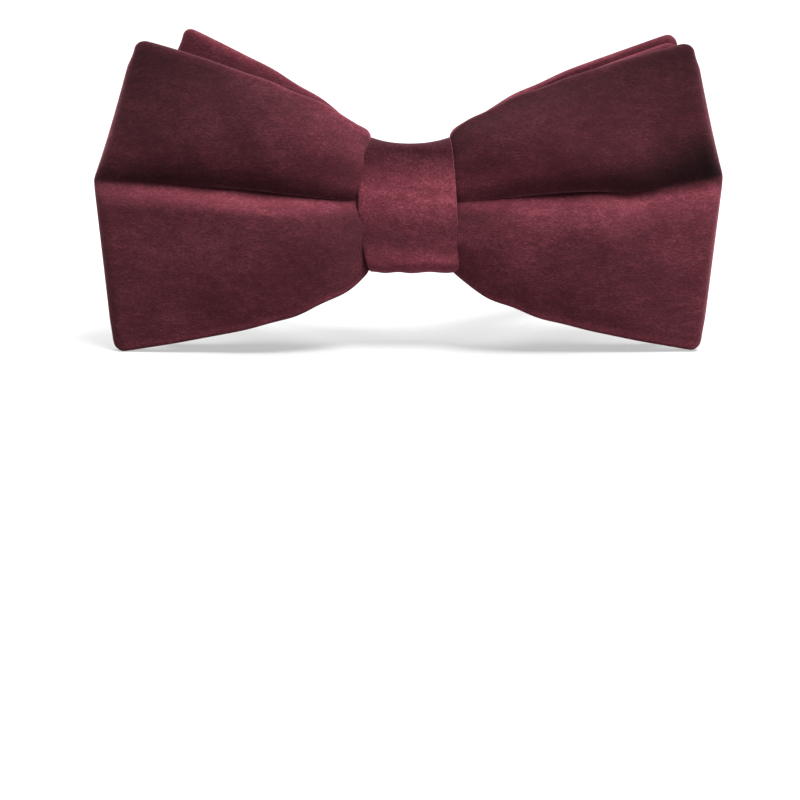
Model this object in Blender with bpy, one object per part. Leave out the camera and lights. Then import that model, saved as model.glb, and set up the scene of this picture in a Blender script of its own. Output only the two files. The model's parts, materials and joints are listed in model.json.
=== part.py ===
"""Pre-tied velvet bow tie on an adjustable neck strap with a hook and an eye, standing on a table.

Metres, +Z up. The bow faces -Y and stands on the lower corners of its wings. The neck strap is a
ring behind it, which leans down to the table at the back, so that the tie stands by itself. The
hook hangs open just outside the eye. The origin is at the bottom centre of the whole tie.
"""

import math

import bmesh
import bpy
from mathutils import Matrix, Vector

# Gaps and fabric
GAP = 0.0003  # between pieces that touch
VELVET = 0.0009
LINING = 0.0004
STRAP_THICK = 0.0010
STRAP_WIDTH = 0.0160

# Depth of the bow's middle plane, between the two bows, which centres the tie's whole depth on y = 0
BOW_PLANE_Y = -0.0603

# Knot band round the pinched middle
KNOT_Z = 0.0281
KNOT_HALF_WIDTH = 0.0096
KNOT_HALF_HEIGHT = 0.0130
KNOT_BAND = 0.0010
KNOT_CORNER = 0.0032
KNOT_TAPER = 0.0013  # how much narrower each side is at the top and the bottom

# The pinched waist of each bow, inside the knot
WAIST_HALF_HEIGHT = 0.0095
WAIST_HALF_DEPTH = 0.0018
WAIST_HALF_WIDTH = 0.0099
CREASE_Z = 0.0289  # the valley between the upper and lower halves of the wings
CREASE_RISE = 0.0040  # how much higher the valley is at the wing's outer edge
CREASE_POWER = 2.5  # most of that rise is near the edge
OUTLINE_POWER = 0.42  # the wings' top and bottom edges leave the knot steeply, then level out

# Each bow: the side of the middle plane it is on, how far it puffs out, and for its left wing (-1) and
# right wing (1) the half width at the valley and the top and bottom corners as (x, z)
FRONT_BOW = {
    "side": -1,
    "puff": 0.0035,
    -1: {"reach": 0.0600, "top": (0.0521, 0.0600), "bottom": (0.0568, 0.0)},
    1: {"reach": 0.0600, "top": (0.0544, 0.0597), "bottom": (0.0564, 0.0)},
}
REAR_BOW = {
    "side": 1,
    "puff": 0.0030,
    -1: {"reach": 0.0520, "top": (0.0426, 0.0614), "bottom": (0.0480, 0.0014)},
    1: {"reach": 0.0550, "top": (0.0514, 0.0598), "bottom": (0.0495, 0.0014)},
}
FOLD_RADIUS = 0.0026
VALLEY_SHARE = 0.25  # of a half's puff, what is left in the valley between the halves
PUFF_POWER = 0.85  # under 1, so each half is fullest nearer the knot and nearer the valley
PANEL_STEPS = (0.0, 0.05, 0.13, 0.24, 0.38, 0.54, 0.72, 0.88, 1.0)
FOLD_STEPS = 3
FRONT_ROWS = (-1.0, -0.6, -0.22, 0.0, 0.22, 0.6, 1.0)
REAR_ROWS = (-1.0, -0.42, 0.0, 0.42, 1.0)

# Threads
BINDING_THREAD = 0.0007
SEWING_THREAD = 0.0003
BINDING_TURNS = 3
BINDING_PITCH = 0.0035
BINDING_CORNER = 0.0012

# The strap's ring: "back" runs from the knot's channel away from the bow, in the ring's plane
STRAP_Y = 0.0058  # the strap's centre behind the bow's middle plane, inside the knot
RING_RADIUS = 0.0520
RING_CENTER = 0.0700
HINGE_X = 0.0108
LEAVING_ANGLE = math.radians(60)  # how far back the strap turns as it leaves the knot
LEAVING_PULL = 0.0240  # Bezier handle lengths of the front run
SIDE_PULL = 0.0300
HINGE_GAP = 0.0004  # from a hinge's axis to the strap on each side of it

# Metal hook, eye and slider
PLATE = 0.0010
BAR = 0.0014
RAIL = 0.0011
ROUND_OFF = 0.0002  # how far a frame's rails stand proud of its bars
WINDOW_HALF_HEIGHT = STRAP_WIDTH / 2 + GAP
METAL_HALF_HEIGHT = WINDOW_HALF_HEIGHT + RAIL
PIVOT_X = 0.00725  # the eye's bar is at -PIVOT_X and the hook's at +PIVOT_X
EYE_LENGTH = 0.0095  # between the middles of its two bars
HOOK_LENGTH = 0.0032
HOOK_OPEN = math.radians(42)  # how far the hook hangs open from where it latches
TONGUE_HALF_HEIGHT = 0.0040
TONGUE_THICK = 0.0009
TONGUE_LIFT = 0.0010  # the tongue's underside over the hook's middle plane
LIP_REACH = 0.0065
LIP_DEPTH = 0.0013
SLIDER_ANGLE = math.radians(25)  # its middle bar, round the ring from the back
SLIDER_HALF_LENGTH = 0.0050
SLIDER_BAR = 0.0012
FOLD_LENGTH = 0.0050  # from a bar to where the strap's two plies lie together
TAIL_LENGTH = 0.0060  # of a sewn-down end, past that
SLIDER_TAIL = 0.0024
PIVOT_WRAP = math.radians(70)  # the fold turns this far to each side of a pivot bar's front
SLIDER_WRAP = math.radians(20)  # the fold round the slider's bar stops this far short of a half turn's ends
LIP_CORNER = 0.0004

# Sewing
LINING_HEM = 0.0008  # how far the velvet reaches past its lining at an edge
SEAM_Y = 0.0035  # the knot band's closing seam, under the knot and behind the bow's middle plane
SEAM_LENGTH = 0.0150
SEAM_STITCHES = 14
STITCH_SWING = 0.0006  # a zigzag's reach to each side
BARTACK_SWING = 0.0008
BARTACK_HEIGHT = 0.0120
BARTACK_CROSSINGS = 12

PLY_PITCH = STRAP_THICK + GAP
FOLD_CENTRE_LINE = BAR / 2 + GAP + STRAP_THICK / 2
PIVOT_RADIUS = RING_RADIUS - PLY_PITCH / 2
PIVOT_ANGLE = math.asin(PIVOT_X / PIVOT_RADIUS)
PIVOT_BACK = RING_CENTER + PIVOT_RADIUS * math.cos(PIVOT_ANGLE)

# The ring leans down until the open hook's far end stands on the table
HOOK_REACH = HOOK_LENGTH + BAR / 2 + ROUND_OFF
FOOT_BACK = PIVOT_BACK + HOOK_REACH * math.sin(HOOK_OPEN) + PLATE / 2 * math.cos(HOOK_OPEN)
FOOT_REACH = math.hypot(FOOT_BACK, METAL_HALF_HEIGHT)
LEAN = math.asin(KNOT_Z / FOOT_REACH) - math.atan2(METAL_HALF_HEIGHT, FOOT_BACK)
RING_UP = Vector((0, math.sin(LEAN), math.cos(LEAN)))
RING_BACK = Vector((0, math.cos(LEAN), -math.sin(LEAN)))

WINE = (0.085, 0.020, 0.030, 1.0)
DARK_WINE = (0.045, 0.012, 0.018, 1.0)
BLACK = (0.015, 0.015, 0.017, 1.0)
NICKEL = (0.62, 0.60, 0.57, 1.0)


# ------------------------------------------------------------------ scene and objects


def clear_scene():
    for obj in list(bpy.data.objects):
        bpy.data.objects.remove(obj, do_unlink=True)


def make_material(name, color, roughness, metallic=0.0):
    material = bpy.data.materials.new(name)
    material.use_nodes = True
    shader = material.node_tree.nodes["Principled BSDF"]
    shader.inputs["Base Color"].default_value = color
    shader.inputs["Roughness"].default_value = roughness
    shader.inputs["Metallic"].default_value = metallic
    return material


def make_body(name, place, parent=None):
    """An empty on a joint's axis, which carries the pieces that the joint moves."""
    empty = bpy.data.objects.new(name, None)
    empty.empty_display_size = 0.01
    bpy.context.collection.objects.link(empty)
    empty["place"] = place[:]
    empty.location = place - Vector(parent["place"]) if parent else place
    empty.parent = parent
    return empty


def add_object(name, data, material, body):
    """Puts data, made in world coordinates, under a body's empty."""
    place = Vector(body["place"])
    data.transform(Matrix.Translation(-place))
    data.materials.append(material)
    obj = bpy.data.objects.new(name, data)
    bpy.context.collection.objects.link(obj)
    obj.parent = body
    return obj


def add_mesh(name, points, faces, material, body):
    mesh = bpy.data.meshes.new(name)
    mesh.from_pydata([tuple(p) for p in points], [], faces)
    shape = bmesh.new()
    shape.from_mesh(mesh)
    bmesh.ops.recalc_face_normals(shape, faces=shape.faces)
    shape.to_mesh(mesh)
    shape.free()
    mesh.shade_smooth()
    mesh.set_sharp_from_angle(angle=math.radians(35))
    return add_object(name, mesh, material, body)


def add_thread(name, points, diameter, material, body):
    curve = bpy.data.curves.new(name, "CURVE")
    curve.dimensions = "3D"
    curve.bevel_depth = diameter / 2
    curve.bevel_resolution = 1
    curve.use_fill_caps = True
    spline = curve.splines.new("POLY")
    spline.points.add(len(points) - 1)
    for point, place in zip(spline.points, points):
        point.co = (*place, 1.0)
    return add_object(name, curve, material, body)


def union(first, others):
    """Joins solids into the first one, and removes the others."""
    for other in others:
        cut = first.modifiers.new("Join", "BOOLEAN")
        cut.operation = "UNION"
        cut.object = other
    bpy.context.view_layer.update()
    graph = bpy.context.evaluated_depsgraph_get()
    joined = bpy.data.meshes.new_from_object(first.evaluated_get(graph))
    first.modifiers.clear()
    first.data = joined
    for other in others:
        bpy.data.objects.remove(other, do_unlink=True)


# ------------------------------------------------------------------ shapes


def tube_faces(rings, size, closed):
    """Faces between neighbouring rings of points, with end caps unless the rings close on each other."""
    faces = []
    for i in range(rings if closed else rings - 1):
        here, there = i * size, (i + 1) % rings * size
        for j in range(size):
            k = (j + 1) % size
            faces.append((here + j, here + k, there + k, there + j))
    if not closed:
        faces.append(tuple(range(size)))
        faces.append(tuple(range((rings - 1) * size, rings * size)))
    return faces


def rounded_rectangle(half_width, half_height, radius, steps):
    """Points round a rectangle with round corners, counter-clockwise from the middle of the right side."""
    corners = ((1, 1), (-1, 1), (-1, -1), (1, -1))
    points = []
    for number, (side, level) in enumerate(corners):
        if number in (0, 2):
            points.append((side * half_width, 0.0))
        for step in range(steps + 1):
            angle = math.pi / 2 * (number + step / steps)
            across = side * (half_width - radius) + radius * math.cos(angle)
            up = level * (half_height - radius) + radius * math.sin(angle)
            points.append((across, up))
    return points


def ring_point(x, back, up=0.0):
    """A point across, back from the knot's channel in the ring's plane, and up along the strap's width."""
    channel = Vector((0, BOW_PLANE_Y + STRAP_Y, KNOT_Z))
    return channel + Vector((x, 0, 0)) + back * RING_BACK + up * RING_UP


def add_ribbon(name, path, thickness, half_height, material, body):
    """A band on edge: a path in the ring's plane, given a thickness and a height."""
    points = []
    for i, here in enumerate(path):
        before, after = path[max(i - 1, 0)], path[min(i + 1, len(path) - 1)]
        along = (Vector(after) - Vector(before)).normalized()
        away = Vector((-along.y, along.x)) * thickness / 2
        for side, level in ((-1, -1), (1, -1), (1, 1), (-1, 1)):
            across = Vector(here) + side * away
            points.append(ring_point(across.x, across.y, level * half_height))
    return add_mesh(name, points, tube_faces(len(path), 4, False), material, body)


def add_prism(name, outline, low, high, material, body):
    """An outline in the ring's plane, filled and given a height from low to high."""
    points = [ring_point(x, back, up) for up in (low, high) for x, back in outline]
    return add_mesh(name, points, tube_faces(2, len(outline), False), material, body)


def box_outline(low, high):
    return [(low[0], low[1]), (high[0], low[1]), (high[0], high[1]), (low[0], high[1])]


def arc_point(radius, angle):
    """A point of the ring's rear arc, by its angle from the back towards +X."""
    return (radius * math.sin(angle), RING_CENTER + radius * math.cos(angle))


def arc_path(radius, first, last, steps):
    return [arc_point(radius, first + (last - first) * i / steps) for i in range(steps + 1)]


# ------------------------------------------------------------------ the two bows


def wing_point(bow, hand, step, row, inset, fold=0.0):
    """A point of a bow's loop, as (x, z, distance from the loop's middle surface, that surface's y).

    hand is -1 for the left wing and 1 for the right one, and x is the distance from the knot's middle.
    step runs from 0 at the waist to 1 where the end fold begins, row from -1 at the bottom edge to 1
    at the top edge, inset is how far inside the velvet's outer face the point lies, and fold is the
    angle round the end fold.
    """
    wing = bow[hand]
    corner_x, corner_z = wing["top"] if row > 0 else wing["bottom"]
    reach = wing["reach"] + (corner_x - wing["reach"]) * abs(row)
    fold_x = reach - FOLD_RADIUS
    along = ((fold_x - WAIST_HALF_WIDTH) * step + FOLD_RADIUS * math.sin(fold)) / (reach - WAIST_HALF_WIDTH)
    spread = along**OUTLINE_POWER
    crease = CREASE_Z + CREASE_RISE * along**CREASE_POWER
    edge_at_waist = KNOT_Z + math.copysign(WAIST_HALF_HEIGHT, row)
    edge = edge_at_waist + (corner_z - edge_at_waist) * spread
    z = crease + (edge - crease) * abs(row)
    base = WAIST_HALF_DEPTH + (FOLD_RADIUS - WAIST_HALF_DEPTH) * step
    puff = bow["puff"] * math.sin(math.pi * step**PUFF_POWER) ** 2
    valley = VALLEY_SHARE + (1 - VALLEY_SHARE) * math.sin(math.pi * abs(row) ** PUFF_POWER)
    depth = (base + puff * valley - inset) * math.cos(fold)
    x = WAIST_HALF_WIDTH + (fold_x - WAIST_HALF_WIDTH) * step + (FOLD_RADIUS - inset) * math.sin(fold)
    middle_y = BOW_PLANE_Y + bow["side"] * (base + puff + GAP / 2)
    return x, z, depth, middle_y


def loop_stations():
    """(side of the bow, front or back panel, step, fold angle) once round the loop, seen from above."""
    wing = [(step, 0.0) for step in PANEL_STEPS]
    wing += [(1.0, math.pi / 2 * i / FOLD_STEPS) for i in range(1, FOLD_STEPS)]
    stations = [(1, -1, *place) for place in wing]
    stations += [(1, -1, 1.0, math.pi / 2)]
    stations += [(1, 1, *place) for place in reversed(wing)]
    stations += [(-1, 1, *place) for place in wing]
    stations += [(-1, 1, 1.0, math.pi / 2)]
    stations += [(-1, -1, *place) for place in reversed(wing)]
    return stations


def layer_faces(stations, rows):
    """A layer's faces, as triangles split the same way on its outer and inner side, so that layers nest."""
    size = 2 * rows
    faces = []
    for i in range(stations):
        here, there = i * size, (i + 1) % stations * size
        for j in range(size):
            k = (j + 1) % size
            quad = (here + j, here + k, there + k, there + j)
            if j < rows:
                faces += [(quad[0], quad[1], quad[2]), (quad[0], quad[2], quad[3])]
            else:
                faces += [(quad[0], quad[1], quad[3]), (quad[1], quad[2], quad[3])]
    return faces


def add_bow_layer(name, bow, rows, outer, inner, hem, material, body):
    """One layer of a bow's loop, open at its top and bottom: between two insets from the velvet's face."""
    points = []
    stations = loop_stations()
    for side, panel, step, fold in stations:
        for inset, order in ((outer, rows), (inner, rows[::-1])):
            for row in order:
                x, z, depth, middle_y = wing_point(bow, side, step, row, inset, fold)
                trim = -math.copysign(hem, row) if abs(row) == 1 else 0.0
                points.append((side * x, middle_y + panel * depth, z + trim))
    add_mesh(name, points, layer_faces(len(stations), len(rows)), material, body)


def add_bows(wine, dark, root):
    lining_face = VELVET + GAP
    lining_back = lining_face + LINING
    for name, bow, rows in (("front_bow", FRONT_BOW, FRONT_ROWS), ("rear_bow", REAR_BOW, REAR_ROWS)):
        add_bow_layer(name, bow, rows, 0.0, VELVET, 0.0, wine, root)
        add_bow_layer(name + "_lining", bow, rows, lining_face, lining_back, LINING_HEM, dark, root)


# ------------------------------------------------------------------ the knot


def add_sleeve(name, front, back, half_height, wall, corner, half_width, material, body):
    """A band round the knot, seen from the side a rounded rectangle from front to back."""
    middle, half_depth = (front + back) / 2, (back - front) / 2
    outer = rounded_rectangle(half_depth, half_height, corner, 3)
    inner = rounded_rectangle(half_depth - wall, half_height - wall, corner - wall, 3)
    points = []
    for (y, z), (y_in, z_in) in zip(outer, inner):
        reach = half_width - KNOT_TAPER * (z / half_height) ** 2
        for x, depth, up in ((-reach, y, z), (reach, y, z), (reach, y_in, z_in), (-reach, y_in, z_in)):
            points.append((x, BOW_PLANE_Y + middle + depth, KNOT_Z + up))
    return add_mesh(name, points, tube_faces(len(outer), 4, True), material, body)


def add_binding_thread(material, body):
    """Turns of thread round the waist of both bows, one continuous length."""
    waist_depth = 2 * WAIST_HALF_DEPTH + GAP / 2
    clear = GAP + BINDING_THREAD / 2
    turn = rounded_rectangle(waist_depth + clear, WAIST_HALF_HEIGHT + clear, BINDING_CORNER, 2)
    count = BINDING_TURNS * len(turn)
    points = []
    for i in range(count):
        y, z = turn[i % len(turn)]
        x = BINDING_PITCH * (i / len(turn) - BINDING_TURNS / 2)
        points.append((x, BOW_PLANE_Y + y, KNOT_Z + z))
    add_thread("binding_thread", points, BINDING_THREAD, material, body)


def knot_sleeves():
    """(front, back, half height) of the band's lining and of the band, from the bow's middle plane."""
    bound_front = 2 * WAIST_HALF_DEPTH + GAP / 2 + GAP + BINDING_THREAD
    strap_back = STRAP_Y + STRAP_THICK / 2
    lining = (-bound_front - GAP - LINING, strap_back + GAP + LINING, KNOT_HALF_HEIGHT - KNOT_BAND - GAP)
    more = GAP + KNOT_BAND
    return lining, (lining[0] - more, lining[1] + more, KNOT_HALF_HEIGHT)


def add_knot(wine, dark, thread, root):
    lining, band = knot_sleeves()
    inner_corner = KNOT_CORNER - KNOT_BAND - GAP
    lining_reach = KNOT_HALF_WIDTH - LINING_HEM
    add_sleeve("knot_band_lining", *lining, LINING, inner_corner, lining_reach, dark, root)
    add_sleeve("knot_band", *band, KNOT_BAND, KNOT_CORNER, KNOT_HALF_WIDTH, wine, root)
    add_binding_thread(thread, root)
    seam_z = KNOT_Z - KNOT_HALF_HEIGHT - GAP - SEWING_THREAD / 2
    seam = []
    for i in range(SEAM_STITCHES + 1):
        y = BOW_PLANE_Y + SEAM_Y + (STITCH_SWING if i % 2 else -STITCH_SWING)
        seam.append((SEAM_LENGTH * (i / SEAM_STITCHES - 0.5), y, seam_z))
    add_thread("knot_seam_thread", seam, SEWING_THREAD, thread, root)


# ------------------------------------------------------------------ the neck strap


def front_run(side):
    """The strap's path from the knot round to the side of the neck, a Bezier curve in the ring's plane."""
    start = Vector((HINGE_X, 0))
    end = Vector((RING_RADIUS, RING_CENTER))
    leaving = start + LEAVING_PULL * Vector((math.cos(LEAVING_ANGLE), math.sin(LEAVING_ANGLE)))
    arriving = end - Vector((0, SIDE_PULL))
    steps = 14
    path = []
    for i in range(steps + 1):
        t = i / steps
        place = (1 - t) ** 3 * start + 3 * t * (1 - t) ** 2 * leaving
        place += 3 * t**2 * (1 - t) * arriving + t**3 * end
        path.append(place)
    path[0] = path[0] + HINGE_GAP * (path[1] - path[0]).normalized()
    path[-1] = path[-1] - HINGE_GAP * (path[-1] - path[-2]).normalized()
    return [(side * place.x, place.y) for place in path]


def fold_round(centre, radius, first, last, steps):
    """Points round a bar, by angle from +X towards the back."""
    turn = [first + (last - first) * i / steps for i in range(steps + 1)]
    return [(centre[0] + radius * math.cos(a), centre[1] + radius * math.sin(a)) for a in turn]


def add_rear_run(name, side, tail_end, material, body):
    """The strap from the side of the neck to its pivot bar, round it, and back inside itself."""
    start = math.pi / 2 - HINGE_GAP / RING_RADIUS
    lay_together = PIVOT_ANGLE + FOLD_LENGTH / RING_RADIUS
    path = arc_path(RING_RADIUS, start, lay_together, 12)
    pivot = (PIVOT_X, PIVOT_BACK)
    facing = math.pi - PIVOT_ANGLE
    path += fold_round(pivot, FOLD_CENTRE_LINE, facing - PIVOT_WRAP, facing + PIVOT_WRAP, 6)
    path += arc_path(RING_RADIUS - PLY_PITCH, lay_together, tail_end, 2)
    path = [(side * x, back) for x, back in path]
    add_ribbon(name, path, STRAP_THICK, STRAP_WIDTH / 2, material, body)


def add_bartack(name, radius, angle, side, material, body):
    """A close zigzag of thread across the strap, at a radius and an angle of the ring."""
    points = []
    for i in range(BARTACK_CROSSINGS + 1):
        turn = angle + (BARTACK_SWING if i % 2 else -BARTACK_SWING) / radius
        x, back = arc_point(radius, turn)
        points.append(ring_point(side * x, back, BARTACK_HEIGHT * (i / BARTACK_CROSSINGS - 0.5)))
    add_thread(name, points, SEWING_THREAD, material, body)


def add_strap(dark, thread, bodies):
    center_y = BOW_PLANE_Y + STRAP_Y
    ends = HINGE_X - HINGE_GAP
    points = []
    for x in (-ends, ends):
        for y_side, level in ((-1, -1), (1, -1), (1, 1), (-1, 1)):
            points.append((x, center_y + y_side * STRAP_THICK / 2, KNOT_Z + level * STRAP_WIDTH / 2))
    add_mesh("strap_center", points, tube_faces(2, 4, False), dark, bodies["root"])
    half = STRAP_WIDTH / 2
    add_ribbon("strap_left_front", front_run(-1), STRAP_THICK, half, dark, bodies["left_front"])
    add_ribbon("strap_right_front", front_run(1), STRAP_THICK, half, dark, bodies["right_front"])
    together = PIVOT_ANGLE + FOLD_LENGTH / RING_RADIUS
    tail = together + TAIL_LENGTH / RING_RADIUS
    short_tail = together + GAP / RING_RADIUS
    add_rear_run("strap_left_rear", -1, tail, dark, bodies["left_rear"])
    add_rear_run("strap_right_rear", 1, short_tail, dark, bodies["right_rear"])
    outside = RING_RADIUS + STRAP_THICK / 2 + GAP + SEWING_THREAD / 2
    tack = together + TAIL_LENGTH / 2 / RING_RADIUS
    add_bartack("eye_bartack", outside, tack, -1, thread, bodies["left_rear"])
    add_bartack("hook_bartack", outside, together, 1, thread, bodies["right_rear"])


# ------------------------------------------------------------------ hook, eye and slider


def add_frame_plate(name, bar_places, back, material, body):
    """A flat metal frame across the strap: upright bars at these places, between two rails."""
    reach = WINDOW_HALF_HEIGHT + RAIL / 2
    half_plate, half_bar = PLATE / 2, BAR / 2
    low, high = min(bar_places) - half_bar - ROUND_OFF, max(bar_places) + half_bar + ROUND_OFF
    rail = box_outline((low, back - half_plate), (high, back + half_plate))
    frame = add_prism(name, rail, -METAL_HALF_HEIGHT, -WINDOW_HALF_HEIGHT, material, body)
    pieces = [add_prism("upper_rail", rail, WINDOW_HALF_HEIGHT, METAL_HALF_HEIGHT, material, body)]
    thin = half_plate - ROUND_OFF
    for middle in bar_places:
        section = box_outline((middle - half_bar, back - thin), (middle + half_bar, back + thin))
        pieces.append(add_prism("bar", section, -reach, reach, material, body))
    union(frame, pieces)
    return frame


def add_eye(metal, body):
    add_frame_plate("eye", (-PIVOT_X, EYE_LENGTH - PIVOT_X), PIVOT_BACK, metal, body)


def add_hook(metal, body):
    """Made lying in line with the eye, as it latches, then swung open about its bar."""
    front_bar = PIVOT_X - HOOK_LENGTH
    hook = add_frame_plate("hook", (front_bar, PIVOT_X), PIVOT_BACK, metal, body)
    under, over = PIVOT_BACK + TONGUE_LIFT, PIVOT_BACK + TONGUE_LIFT + TONGUE_THICK
    lip_out = PIVOT_X - LIP_REACH - TONGUE_THICK / 2
    lip_in = lip_out + TONGUE_THICK
    inset = BAR / 2 - ROUND_OFF
    outline = [(front_bar + inset, over), (lip_out + LIP_CORNER, over), (lip_out, over - LIP_CORNER)]
    outline += [(lip_out, PIVOT_BACK - LIP_DEPTH), (lip_in, PIVOT_BACK - LIP_DEPTH), (lip_in, under)]
    outline += [(front_bar - inset, under), (front_bar - inset, PIVOT_BACK)]
    outline += [(front_bar + inset, PIVOT_BACK)]
    tongue = add_prism("hook_tongue", outline, -TONGUE_HALF_HEIGHT, TONGUE_HALF_HEIGHT, metal, body)
    union(hook, [tongue])
    hook.data.transform(Matrix.Rotation(-HOOK_OPEN, 4, RING_UP))


def slider_point(radius, along):
    """A point of the slider, by its distance from its middle bar towards the hook."""
    return arc_point(radius, SLIDER_ANGLE - along / RING_RADIUS)


def add_slider(metal, dark, thread, body):
    outer_face = RING_RADIUS + STRAP_THICK / 2 + GAP
    bar_radius = RING_RADIUS - PLY_PITCH - FOLD_CENTRE_LINE
    deep = bar_radius - SLIDER_BAR / 2
    top, low = outer_face + SLIDER_BAR + ROUND_OFF, outer_face - 2 * ROUND_OFF
    end = SLIDER_HALF_LENGTH + SLIDER_BAR / 2 + ROUND_OFF
    shank = SLIDER_BAR + 2 * ROUND_OFF
    belly, seat = deep - ROUND_OFF, deep - ROUND_OFF + shank
    side_view = [(top, -end), (low, -end), (belly, -shank / 2), (belly, shank / 2), (low, end)]
    side_view += [(top, end), (top, end - shank), (seat, shank / 2), (seat, -shank / 2), (top, shank - end)]
    outline = [slider_point(radius, along) for radius, along in side_view]
    lower = add_prism("slider_frame", outline, -METAL_HALF_HEIGHT, -WINDOW_HALF_HEIGHT, metal, body)
    pieces = [add_prism("upper_rail", outline, WINDOW_HALF_HEIGHT, METAL_HALF_HEIGHT, metal, body)]
    reach = WINDOW_HALF_HEIGHT + RAIL / 2
    for middle, low in ((-SLIDER_HALF_LENGTH, outer_face), (0.0, deep), (SLIDER_HALF_LENGTH, outer_face)):
        near, far, high = middle - SLIDER_BAR / 2, middle + SLIDER_BAR / 2, low + SLIDER_BAR
        corners = ((low, near), (high, near), (high, far), (low, far))
        section = [slider_point(radius, along) for radius, along in corners]
        pieces.append(add_prism("cross_bar", section, -reach, reach, metal, body))
    union(lower, pieces)
    add_slider_fold(bar_radius, dark, thread, body)


def add_slider_fold(bar_radius, dark, thread, body):
    """The strap's sewn end: in from the hook's side, round the middle bar and back inside itself."""
    reach = FOLD_LENGTH / RING_RADIUS
    tail = SLIDER_ANGLE - reach - SLIDER_TAIL / RING_RADIUS
    path = arc_path(RING_RADIUS - PLY_PITCH, tail, SLIDER_ANGLE, 4)
    outward = math.pi / 2 - SLIDER_ANGLE
    path += fold_round(arc_point(bar_radius, SLIDER_ANGLE), FOLD_CENTRE_LINE,
                       outward - SLIDER_WRAP, outward - math.pi + SLIDER_WRAP, 6)
    path += arc_path(RING_RADIUS - 2 * PLY_PITCH, SLIDER_ANGLE - reach, tail, 1)
    add_ribbon("slider_fold", path, STRAP_THICK, STRAP_WIDTH / 2, dark, body)
    inside = RING_RADIUS - 2 * PLY_PITCH - STRAP_THICK / 2 - GAP - SEWING_THREAD / 2
    tack = SLIDER_ANGLE - reach - SLIDER_TAIL / 2 / RING_RADIUS
    add_bartack("slider_bartack", inside, tack, 1, thread, body)


def add_return_ply(dark, body):
    """The doubled ply between the hook's fold and the slider's."""
    first = PIVOT_ANGLE + (FOLD_LENGTH + 2 * GAP) / RING_RADIUS
    last = SLIDER_ANGLE - (FOLD_LENGTH + SLIDER_TAIL + GAP) / RING_RADIUS
    path = arc_path(RING_RADIUS - PLY_PITCH, first, last, 3)
    add_ribbon("strap_return_ply", path, STRAP_THICK, STRAP_WIDTH / 2, dark, body)


# ------------------------------------------------------------------ assembly


def make_bodies():
    """One empty on each joint's axis, nested as the joints are."""
    root = make_body("root", Vector((0, BOW_PLANE_Y, KNOT_Z)))
    bodies = {"root": root}
    for side, label in ((-1, "left"), (1, "right")):
        front = make_body(label + "_front", ring_point(side * HINGE_X, 0), root)
        rear = make_body(label + "_rear", ring_point(side * RING_RADIUS, RING_CENTER), front)
        bodies[label + "_front"], bodies[label + "_rear"] = front, rear
    bodies["eye"] = make_body("eye_pivot", ring_point(-PIVOT_X, PIVOT_BACK), bodies["left_rear"])
    bodies["hook"] = make_body("hook_pivot", ring_point(PIVOT_X, PIVOT_BACK), bodies["right_rear"])
    bodies["slider"] = make_body("slider_centre", ring_point(0, RING_CENTER), bodies["right_rear"])
    return bodies


def main():
    clear_scene()
    velvet = make_material("velvet", WINE, 0.95)
    lining = make_material("stiff_lining", BLACK, 0.9)
    satin = make_material("strap_satin", DARK_WINE, 0.5)
    thread = make_material("sewing_thread", WINE, 0.7)
    nickel = make_material("nickel", NICKEL, 0.3, 1.0)
    bodies = make_bodies()
    add_bows(velvet, lining, bodies["root"])
    add_knot(velvet, lining, thread, bodies["root"])
    add_strap(satin, thread, bodies)
    add_return_ply(satin, bodies["right_rear"])
    add_eye(nickel, bodies["eye"])
    add_hook(nickel, bodies["hook"])
    add_slider(nickel, satin, thread, bodies["slider"])


main()
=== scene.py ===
"""Looks of the velvet bow tie: two stacked bows, a knot band and a neck strap with its hook, eye and slider.

Metres, in the CAD's frame: the bow faces -Y and stands on its lower corners, the strap's ring leans
down to the floor behind it. Cloth is modelled as thin shells with turned edges, by formulas that
follow the CAD bodies, and metal pieces are the CAD solids with their edges rounded.
"""

import json
import math

import bmesh
import bpy
import numpy as np
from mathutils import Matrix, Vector


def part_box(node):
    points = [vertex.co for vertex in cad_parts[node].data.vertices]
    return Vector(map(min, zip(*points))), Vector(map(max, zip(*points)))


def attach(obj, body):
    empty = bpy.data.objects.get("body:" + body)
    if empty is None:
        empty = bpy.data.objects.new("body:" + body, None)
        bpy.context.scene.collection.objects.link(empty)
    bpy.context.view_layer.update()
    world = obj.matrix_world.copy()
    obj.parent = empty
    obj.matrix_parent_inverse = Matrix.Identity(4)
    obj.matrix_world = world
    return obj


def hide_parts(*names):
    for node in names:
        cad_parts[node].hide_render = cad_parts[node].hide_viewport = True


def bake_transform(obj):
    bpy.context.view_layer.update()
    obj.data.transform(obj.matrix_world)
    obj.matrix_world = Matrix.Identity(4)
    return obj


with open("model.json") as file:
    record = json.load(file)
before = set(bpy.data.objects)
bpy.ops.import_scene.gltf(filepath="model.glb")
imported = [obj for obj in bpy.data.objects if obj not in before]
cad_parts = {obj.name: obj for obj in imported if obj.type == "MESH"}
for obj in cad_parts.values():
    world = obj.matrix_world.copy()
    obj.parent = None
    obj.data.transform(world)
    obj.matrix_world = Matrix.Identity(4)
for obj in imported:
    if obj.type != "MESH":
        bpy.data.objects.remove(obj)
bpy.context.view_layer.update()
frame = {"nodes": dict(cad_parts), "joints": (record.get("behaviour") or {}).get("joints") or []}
JOINTS = {joint["name"]: joint for joint in frame["joints"]}

# ------------------------------------------------------------------ sizes taken from the frame

FRONT_EDGE_RISE = 0.0009  # how much higher the band's top starts at its front edge, from where it slopes down
BAND_CLEARANCE = 0.0003
LINING_RISE = 0.0006

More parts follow.
